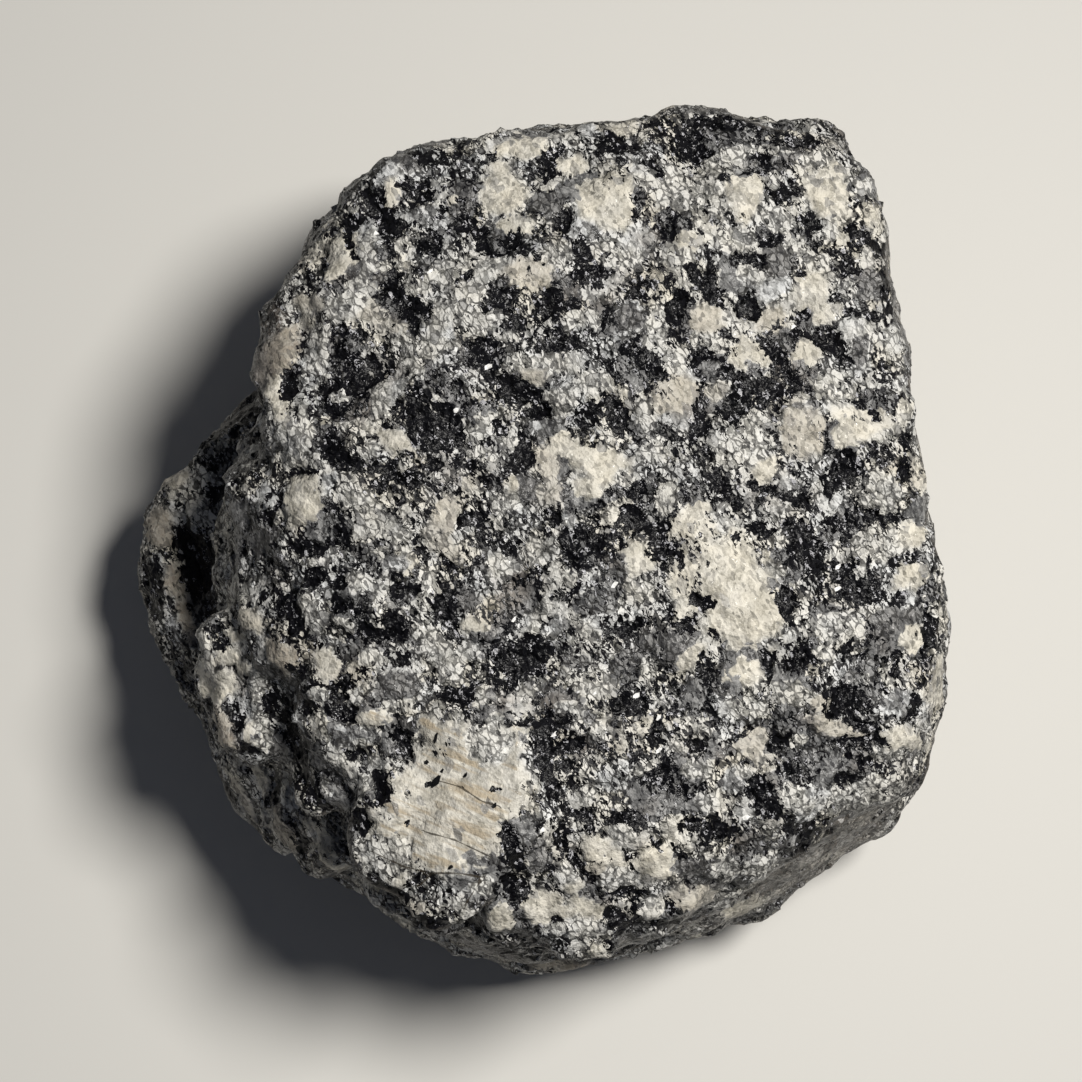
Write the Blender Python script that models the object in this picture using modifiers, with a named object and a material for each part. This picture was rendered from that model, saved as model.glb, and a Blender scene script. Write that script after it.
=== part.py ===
"""A hand-sized cobble of granodiorite, one solid that rests on a small flat spot.

The stone is worked as a mason would work it. Two blanks are chiselled to flat sides and joined, crystals
are fused to them, hollows are carved out, and the whole is worn round, roughened and set down flat.
Lengths are in millimetres and angles in degrees until Blender gets them. X runs to the right, Y away
from the viewer and Z up.
"""

import math

import bmesh
import bpy
from mathutils import Euler, Matrix, Vector

MM = 0.001
STONE = "granodiorite_cobble"
STONE_COLOUR = (0.30, 0.29, 0.27, 1.0)
STONE_ROUGHNESS = 0.62

BLANK_SIDE = 160.0  # the cube that each block is chiselled from
EDGE_STRUCK_OFF = 0.36  # of a crystal's half length
BLOCK_VOXEL, BLOCK_WEAR = 1.4, 4  # how finely the joined blocks are worked and how far they are worn round
SURFACE_VOXEL, SURFACE_WEAR = 0.9, 2  # the same once the crystals and hollows are in
WEAR_PER_PASS = 0.5  # how far a pass moves a point towards the mean of its neighbours
KEPT_TRIANGLES = 0.115  # share of the worked surface's triangles that the finished stone keeps
FLOOR_SIDE, FLOOR_DEPTH = 200.0, 20.0  # the block that trims the resting spot flat

# Relief of the broken surface: its pattern, how far across its features are, and how high they stand. A
# height below zero makes bosses of the pattern's pits.
RELIEF = (
    ("swells", "CLOUDS", 14.0, 2.0),
    ("crystal_bosses", "VORONOI", 8.0, -2.2),
    ("grains", "CLOUDS", 3.4, 0.9),
)

# The widest outline of each block, clockwise from above. Each corner has its place, its height over the
# table, how far the side that starts there leans in above it, and how far it cuts in below.
MAIN_OUTLINE = (
    # x, y, height, lean, undercut
    (-30.2, 20.5, 27, 2, 25),
    (-27.8, 28.8, 26, 8, 35),
    (-25.0, 35.0, 25, 9, 40),
    (-19.4, 41.2, 24, 8, 42),
    (-12.8, 44.2, 22, 8, 42),
    (15.0, 48.2, 17, 10, 45),
    (23.0, 48.5, 17, 11, 46),
    (31.0, 46.0, 18, 8, 44),
    (35.8, 42.0, 20, 6, 42),
    (38.2, 35.8, 20, 5, 42),
    (40.8, 17.0, 20, 4, 42),
    (44.5, -13.5, 17, 5, 46),
    (43.4, -24.5, 13, 8, 48),
    (39.6, -32.4, 10, 10, 52),
    (25.6, -41.6, 9, 8, 55),
    (17.5, -44.6, 11, 8, 52),
    (7.5, -47.6, 11, 8, 52),
    (-3.0, -48.0, 12, 10, 50),
    (-10.2, -46.6, 12, 10, 50),
    (-17.6, -42.0, 13, 12, 48),
    (-27.0, -35.6, 14, 20, 46),
    (-34.5, -27.0, 16, 13, 46),
    (-36.5, -10.0, 20, 4, 40),
    (-34.8, 6.0, 24, 3, 30),
)
SHOULDER_OUTLINE = (
    (-34.0, -29.2, 14, 22, 46),
    (-42.6, -10.6, 15, 20, 46),
    (-45.2, -1.5, 15, 14, 45),
    (-43.0, 4.6, 15, 14, 45),
    (-39.8, 10.6, 15, 14, 45),
    (-32.6, 18.2, 14, 12, 45),
    (-24.0, 22.0, 13, 12, 45),
    (-12.0, 20.0, 14, 5, 40),
    (-12.0, -30.0, 14, 5, 40),
)

# The faces that close each block: a point on the face, its tilt from level and the bearing that it
# faces, counted from +X towards +Y.
MAIN_TOP = (
    # x, y, z, tilt, bearing
    (0.0, 0.0, 49.0, 3, 230),
    (18.0, 20.0, 48.0, 10, 45),
    (0.0, 36.0, 46.0, 20, 92),
    (38.0, 0.0, 45.5, 20, 5),
    (-14.0, -20.0, 47.4, 14, 215),
    (-26.6, -2.0, 46.0, 42, 188),
    (-24.5, -29.0, 41.0, 42, 205),
    (2.0, -38.0, 44.5, 26, 268),
    (-22.0, 26.0, 45.0, 22, 150),
    (32.0, -28.0, 44.5, 22, 312),
    (36.5, -31.5, 33.0, 66, 300),
)
SHOULDER_TOP = (
    (-38.0, -2.0, 24.5, 46, 180),
    (-36.0, -16.0, 23.5, 48, 212),
    (-36.0, 10.0, 22.0, 42, 142),
    (-42.0, 2.0, 20.5, 20, 170),
)
UNDERSIDE = (
    (0.0, 0.0, -1.0, 180, 0),
    (18.0, 8.0, 0.5, 162, 20),
    (-18.0, 4.0, 0.5, 160, 175),
    (0.0, 19.0, 0.5, 162, 95),
    (2.0, -20.0, 0.5, 165, 275),
)

# Crystals and ledges that stand out of the worn blocks, and hollows that are sunk in them: the centre,
# the half lengths along their own X, Y and Z, and the turns about X, Y and Z.
LUMPS = (
    # nose that overhangs the shoulder, and the ridge beside it
    ((-25.2, 19.8, 36.6), (3.4, 5.6, 6.0), (0, -20, 12)),
    ((-21.6, 21.5, 42.0), (2.6, 6.5, 5.0), (0, 0, 8)),
    # rim of the shoulder
    ((-41.2, 3.4, 17.4), (2.2, 5.4, 3.4), (0, 28, -22)),
    ((-41.8, -5.8, 17.2), (2.2, 6.0, 3.4), (0, 28, 12)),
    # crystals and long ridges on the slope under the near left edge
    ((-32.4, -12.4, 33.6), (3.2, 4.0, 4.6), (8, -16, 15)),
    ((-30.8, -20.6, 33.0), (2.6, 4.2, 4.6), (-10, -20, 24)),
    ((-33.4, -18.2, 29.4), (2.2, 5.8, 4.6), (6, -24, 25)),
    ((-38.6, -13.0, 18.4), (2.0, 8.0, 4.0), (0, 35, 24)),
    ((-30.6, -28.4, 21.0), (2.2, 6.6, 4.4), (0, 26, 34)),
    ((-24.4, -30.6, 27.6), (3.0, 5.4, 5.0), (8, 30, 38)),
    # crystals that make up the near edge
    ((-12.8, -36.4, 31.4), (6.0, 3.6, 9.0), (15, 5, -24)),
    ((-3.2, -40.4, 35.4), (3.4, 3.4, 6.0), (26, 0, -8)),
    ((4.4, -39.8, 36.2), (4.0, 4.6, 6.0), (24, 0, 4)),
    ((12.8, -37.4, 38.6), (4.2, 3.4, 5.0), (20, 0, 18)),
    ((-23.6, -25.4, 38.6), (3.2, 5.4, 3.6), (0, 30, 25)),
    # lip along the near side
    ((9.0, -43.0, 13.0), (10.5, 2.6, 3.2), (0, 0, 12)),
    ((-14.4, -39.2, 14.4), (8.0, 2.2, 3.0), (0, 0, -24)),
    # hump on the far side
    ((21.0, 41.2, 31.0), (11.5, 3.6, 7.0), (-12, 4, -6)),
    ((-7.0, 39.8, 31.0), (6.5, 2.8, 7.0), (-8, 0, 9)),
    # ribs down the right side
    ((36.9, 12.0, 31.0), (2.4, 8.0, 8.0), (0, 0, 8)),
    ((38.7, -11.0, 29.0), (2.6, 7.0, 8.0), (0, 4, -6)),
    ((39.2, -23.6, 23.0), (2.6, 4.4, 9.0), (0, 6, -14)),
    # ledges low on the far and near sides
    ((8.0, 37.0, 12.0), (12.0, 3.6, 3.6), (36, 0, 4)),
    ((21.0, -34.6, 8.6), (9.0, 3.4, 3.4), (-40, 0, 24)),
    # large feldspar crystals that stand just clear of the top
    ((-9.2, -28.6, 44.9), (8.6, 12.4, 3.2), (8, -6, -31)),
    ((22.0, -2.6, 46.2), (6.4, 9.4, 3.2), (0, 3, 24)),
    ((24.2, 11.4, 46.0), (3.2, 4.0, 2.6), (0, 6, 12)),
    ((5.0, 8.6, 47.2), (4.4, 3.2, 2.6), (0, 0, 15)),
    ((-26.0, 4.4, 44.0), (2.2, 2.8, 2.6), (0, -12, 20)),
    ((-18.6, 3.0, 46.2), (2.8, 3.4, 2.6), (0, -6, -30)),
    ((10.0, 36.2, 44.0), (4.6, 4.2, 3.0), (-16, 0, 10)),
    ((22.0, 36.0, 43.6), (5.2, 4.0, 3.0), (-18, 4, -4)),
    ((31.0, 36.0, 40.6), (4.0, 3.6, 3.4), (-18, 14, -30)),
)
HOLLOWS = (
    # gully between the shoulder and the main block
    ((-38.4, -3.2, 24.4), (1.5, 7.2, 6.0), (0, 20, 6)),
    # notch under the nose and the smooth hollow below it
    ((-34.2, 12.8, 34.0), (4.4, 5.2, 10.0), (0, 18, -38)),
    # crease that sets the nose off from the top
    ((-25.6, 20.2, 45.6), (0.9, 4.4, 4.4), (0, 14, 10)),
    # pockets in the slope under the near left edge
    ((-28.0, -17.4, 42.2), (2.0, 2.8, 4.4), (0, 16, 30)),
    ((-26.8, -23.4, 41.0), (1.5, 5.2, 5.0), (0, 16, 18)),
    # gaps between the crystals of the near edge
    ((-6.6, -40.8, 43.4), (1.1, 3.4, 2.6), (34, 8, -24)),
    ((0.8, -41.0, 43.4), (0.9, 3.4, 2.6), (36, -8, 14)),
    # saddle between the top and the far hump
    ((2.0, 45.2, 44.0), (8.0, 3.0, 6.0), (25, 0, 4)),
    # groove over the near lip
    ((6.0, -47.4, 19.0), (12.5, 2.6, 2.4), (0, 0, 8)),
    # where dark mica has weathered out of the top
    ((17.8, 16.2, 49.8), (1.4, 5.4, 2.0), (0, 0, 2)),
    ((-18.6, 17.0, 49.6), (4.6, 3.4, 2.0), (0, 0, 20)),
    ((7.8, -1.6, 50.6), (6.0, 3.4, 2.0), (0, 0, -14)),
    ((32.0, -2.4, 48.8), (4.0, 6.4, 2.2), (0, 10, 14)),
    # chips out of the edges, and scoops out of the far and right sides
    ((41.4, 26.0, 44.4), (3.0, 5.0, 4.5), (0, 30, 0)),
    ((-24.6, 37.6, 40.0), (4.5, 2.6, 8.0), (0, 0, -50)),
    ((-10.0, 44.6, 17.0), (9.0, 3.0, 4.0), (30, 0, 12)),
    ((42.0, 0.0, 12.0), (3.4, 9.0, 4.0), (0, -30, 0)),
)


def clear_scene():
    for thing in list(bpy.data.objects):
        bpy.data.objects.remove(thing, do_unlink=True)


def new_collection(name):
    collection = bpy.data.collections.new(name)
    bpy.context.scene.collection.children.link(collection)
    return collection


def new_object(name, mesh, collection):
    """An object made from a bmesh, in a collection."""
    data = bpy.data.meshes.new(name)
    mesh.to_mesh(data)
    mesh.free()
    made = bpy.data.objects.new(name, data)
    collection.objects.link(made)
    return made


def new_helper(name, mesh, collection):
    """An object that only shapes another one."""
    helper = new_object(name, mesh, collection)
    helper.hide_render = True
    helper.display_type = "WIRE"
    return helper


def side_planes(outline):
    """The plane above and the plane below each side of an outline, as a point and an outward normal."""
    planes = []
    for i, (x, y, height, lean, undercut) in enumerate(outline):
        x2, y2, height2 = outline[(i + 1) % len(outline)][:3]
        corner, following = Vector((x, y, height)), Vector((x2, y2, height2))
        along = following - corner
        outward = Vector((-along.y, along.x, 0)).normalized()
        for rise, angle in ((1, lean), (-1, undercut)):
            inset = math.radians(angle)
            up_the_side = -math.sin(inset) * outward + rise * math.cos(inset) * Vector((0, 0, 1))
            normal = along.cross(up_the_side)
            planes.append((corner, normal if normal.dot(outward) > 0 else -normal))
    return planes


def face_planes(faces):
    """The planes of a table of tilted faces, as a point and an outward normal."""
    planes = []
    for x, y, z, tilt, bearing in faces:
        lean, turn = math.radians(tilt), math.radians(bearing)
        normal = (math.sin(lean) * math.cos(turn), math.sin(lean) * math.sin(turn), math.cos(lean))
        planes.append((Vector((x, y, z)), Vector(normal)))
    return planes


def chiselled(planes):
    """A cube with everything outside the planes struck off."""
    blank = bmesh.new()
    bmesh.ops.create_cube(blank, size=BLANK_SIDE * MM)
    for point, normal in planes:
        whole = blank.verts[:] + blank.edges[:] + blank.faces[:]
        cut = bmesh.ops.bisect_plane(
            blank, geom=whole, plane_co=point * MM, plane_no=normal, clear_outer=True, dist=1e-7
        )
        rim = [part for part in cut["geom_cut"] if isinstance(part, bmesh.types.BMEdge)]
        if rim:
            bmesh.ops.contextual_create(blank, geom=rim)
    bmesh.ops.recalc_face_normals(blank, faces=blank.faces[:])
    return blank


def crystal(centre, half_lengths, turns):
    """A block with flat faces, its edges and corners struck off."""
    block = bmesh.new()
    placed = (
        Matrix.Translation(Vector(centre) * MM)
        @ Euler([math.radians(turn) for turn in turns]).to_matrix().to_4x4()
        @ Matrix.Diagonal((*(Vector(half_lengths) * MM), 1.0))
    )
    bmesh.ops.create_cube(block, size=2.0)
    bmesh.ops.bevel(
        block, geom=block.edges[:], offset=EDGE_STRUCK_OFF, offset_type="OFFSET", segments=1, affect="EDGES"
    )
    bmesh.ops.transform(block, matrix=placed, verts=block.verts[:])
    return block


def add_boolean(stone, name, operation, collection):
    cut = stone.modifiers.new(name, "BOOLEAN")
    cut.operation = operation
    cut.solver = "EXACT"
    cut.operand_type = "COLLECTION"
    cut.collection = collection


def roughen(stone, name, pattern, across, height):
    """Raises and sinks the surface by a solid texture."""
    texture = bpy.data.textures.new(name, pattern)
    texture.noise_scale = across * MM
    rough = stone.modifiers.new(name, "DISPLACE")
    rough.texture = texture
    rough.texture_coords = "LOCAL"
    rough.strength = height * MM


def work_over(stone, name, voxel, passes):
    """Makes one even skin of everything joined so far, and wears its edges round."""
    skin = stone.modifiers.new(f"{name}_skin", "REMESH")
    skin.mode = "VOXEL"
    skin.voxel_size = voxel * MM
    worn = stone.modifiers.new(f"{name}_wear", "SMOOTH")
    worn.factor = WEAR_PER_PASS
    worn.iterations = passes


def set_down(stone, collection):
    """Trims the underside level with the table."""
    floor = bmesh.new()
    size = Matrix.Diagonal((FLOOR_SIDE * MM, FLOOR_SIDE * MM, FLOOR_DEPTH * MM, 1.0))
    bmesh.ops.create_cube(floor, size=1.0, matrix=Matrix.Translation((0, 0, -FLOOR_DEPTH / 2 * MM)) @ size)
    new_helper("floor", floor, collection)
    add_boolean(stone, "set_down", "DIFFERENCE", collection)


def stone_material():
    material = bpy.data.materials.new("granodiorite")
    material.use_nodes = True
    shader = material.node_tree.nodes["Principled BSDF"]
    shader.inputs["Base Color"].default_value = STONE_COLOUR
    shader.inputs["Roughness"].default_value = STONE_ROUGHNESS
    material.diffuse_color = STONE_COLOUR
    return material


def main():
    clear_scene()
    finished = new_collection("granodiorite")
    joined = new_collection("joined_blocks")
    fused = new_collection("fused_crystals")
    carved = new_collection("carved_hollows")
    trimmed = new_collection("floor_trim")

    main_planes = side_planes(MAIN_OUTLINE) + face_planes(MAIN_TOP + UNDERSIDE)
    stone = new_object(STONE, chiselled(main_planes), finished)
    stone.data.materials.append(stone_material())

    shoulder_planes = side_planes(SHOULDER_OUTLINE) + face_planes(SHOULDER_TOP + UNDERSIDE)
    new_helper("shoulder", chiselled(shoulder_planes), joined)
    for i, lump in enumerate(LUMPS):
        new_helper(f"lump_{i}", crystal(*lump), fused)
    for i, hollow in enumerate(HOLLOWS):
        new_helper(f"hollow_{i}", crystal(*hollow), carved)

    add_boolean(stone, "join_shoulder", "UNION", joined)
    work_over(stone, "block", BLOCK_VOXEL, BLOCK_WEAR)
    add_boolean(stone, "fuse_crystals", "UNION", fused)
    add_boolean(stone, "carve_hollows", "DIFFERENCE", carved)
    work_over(stone, "surface", SURFACE_VOXEL, SURFACE_WEAR)
    for relief in RELIEF:
        roughen(stone, *relief)

    thinned = stone.modifiers.new("thin", "DECIMATE")
    thinned.ratio = KEPT_TRIANGLES
    set_down(stone, trimmed)


main()
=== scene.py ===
"""The looks of the granodiorite cobble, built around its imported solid.

The solid is skinned with a fine mesh, which is roughened grain by grain. The same fields that raise a
feldspar crystal or sink a clot of mica are kept on the mesh for the material, so colour and relief agree.
Lengths are in millimetres and angles in degrees until Blender gets them. X runs to the right, Y away
from the viewer and Z up.
"""

import itertools
import math

import bmesh
import bpy
import numpy as np
from mathutils import Matrix, Vector
from mathutils.bvhtree import BVHTree

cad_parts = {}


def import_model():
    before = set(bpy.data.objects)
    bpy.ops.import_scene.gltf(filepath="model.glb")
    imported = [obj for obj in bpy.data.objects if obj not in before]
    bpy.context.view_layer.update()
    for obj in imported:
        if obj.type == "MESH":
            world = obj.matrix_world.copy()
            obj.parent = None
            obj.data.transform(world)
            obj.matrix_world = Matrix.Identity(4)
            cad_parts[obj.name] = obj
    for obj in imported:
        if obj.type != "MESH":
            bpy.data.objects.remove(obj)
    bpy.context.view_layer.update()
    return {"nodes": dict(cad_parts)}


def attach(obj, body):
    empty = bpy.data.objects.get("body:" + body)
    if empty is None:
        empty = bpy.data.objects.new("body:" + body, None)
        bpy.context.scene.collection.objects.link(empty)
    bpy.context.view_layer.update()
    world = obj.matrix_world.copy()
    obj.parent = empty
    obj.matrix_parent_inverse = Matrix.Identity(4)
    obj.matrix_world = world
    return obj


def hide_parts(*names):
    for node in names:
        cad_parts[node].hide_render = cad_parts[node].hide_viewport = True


MM = 0.001
STONE = "granodiorite_cobble"

# The camera looks almost straight down.
CAMERA_TARGET = (0.0, 0.0, 22.0)
CAMERA_DISTANCE = 420.0
CAMERA_ELEVATION = 86.0
FRAME_WIDTH = 120.2  # what the picture takes in across the target
SENSOR = 36.0

# One soft lamp above the far right, a faint cool room around it, and a plain pale floor.
KEY_DIRECTION = (0.40, 0.18, 1.0)
KEY_DISTANCE = 600.0
KEY_AIM = (0.0, -60.0, 0.0)  # nearer than the stone, so the far floor is no brighter
KEY_SPREAD = 100.0
KEY_ACROSS = 170.0
KEY_POWER = 1.17  # watts
KEY_COLOUR = (1.0, 0.97, 0.92)
ROOM_COLOUR = (0.84, 0.92, 1.15, 1.0)
ROOM_STRENGTH = 0.052
FLOOR_SIDE = 3000.0
FLOOR_DROP = 0.02  # keeps the floor clear of the resting spot
FLOOR_COLOUR = (0.70, 0.69, 0.655, 1.0)
FLOOR_ROUGHNESS = 0.7

# The fine mesh, and the relief that it gets.
SKIN_VOXEL = 0.57
SKIN_SMOOTHING = 6
SKIN_JITTER = 0.36  # breaks up its even rows
COARSE_FACETS = (2.4, 0.18, 0.20)  # across, step and slope of the flats in which grains break
FINE_FACETS = (1.15, 0.12, 0.22)
WORN_FACETS = (1.5, 0.10, 0.10)
CRYSTAL_RISE = 0.38
MICA_SINK = 0.42
RESTING_DEPTH = 0.25  # what lies lower than this is the resting spot, which stays flat

# How far across the patterns between the placed crystals are: loose crystals, clots of mica, brown
# stains, coarse and fine grains, and grit.
LOOSE_CRYSTAL = 3.4
MICA_CLOT = 5.2
BROWN_STAIN = 7.0
COARSE_GRAIN = 0.92
FINE_GRAIN = 0.40
GRIT = 0.35
GRIT_DEPTH = 0.16

# Colours, and pairs of them that each grain lies between.
FELDSPAR_BRIGHT = (0.72, 0.73, 0.73, 1), (0.78, 0.735, 0.625, 1)
FELDSPAR_DULL = (0.195, 0.203, 0.205, 1), (0.28, 0.262, 0.21, 1)
FELDSPAR_STREAK = (0.46, 0.395, 0.295, 1)
QUARTZ = (0.055, 0.056, 0.06, 1), (0.36, 0.36, 0.355, 1)
BROWN = (0.20, 0.15, 0.10, 1)
# Dark grain edges: partly their own dark boundary and partly painted shade in the crevices between grains.
SEAM_AND_CREVICE_SHADE = (0.025, 0.024, 0.023, 1)
DARK_GRAIN = (0.03, 0.03, 0.032, 1)
MICA = (0.001, 0.001, 0.0015, 1), (0.008, 0.008, 0.010, 1)
# A painted highlight: the grey of the lamp glinting on mica flakes.
MICA_PAINTED_GLINT = (0.42, 0.42, 0.44, 1)
CRACK = (0.04, 0.032, 0.022, 1)
SPECK = (0.006, 0.006, 0.007, 1)
# A painted highlight: the white of the lamp glinting on a flake.
PAINTED_GLINT = (0.95, 0.95, 0.93, 1)
GRIME = (0.022, 0.019, 0.017, 1), (0.22, 0.20, 0.175, 1)

# How each mineral looks: its warmth, from bluish at -1 to cream at 1, how brown and how glassy it is, and
# how far its crystals break in smooth cleaved flats.
MINERALS = {
    "white": (0.1, 0.0, 0.0, 0.35),
    "cream": (1.0, 0.05, 0.0, 0.8),
    "layered": (0.8, 0.05, 0.0, 1.0),
    "buff": (0.8, 0.4, 0.0, 0.6),
    "brown": (0.8, 0.8, 0.0, 0.6),
    "pink": (0.5, 0.3, 0.0, 0.4),
    "blue": (-0.8, 0.0, 0.35, 0.4),
    "grey": (-0.2, 0.1, 1.0, 0.3),
}

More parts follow.
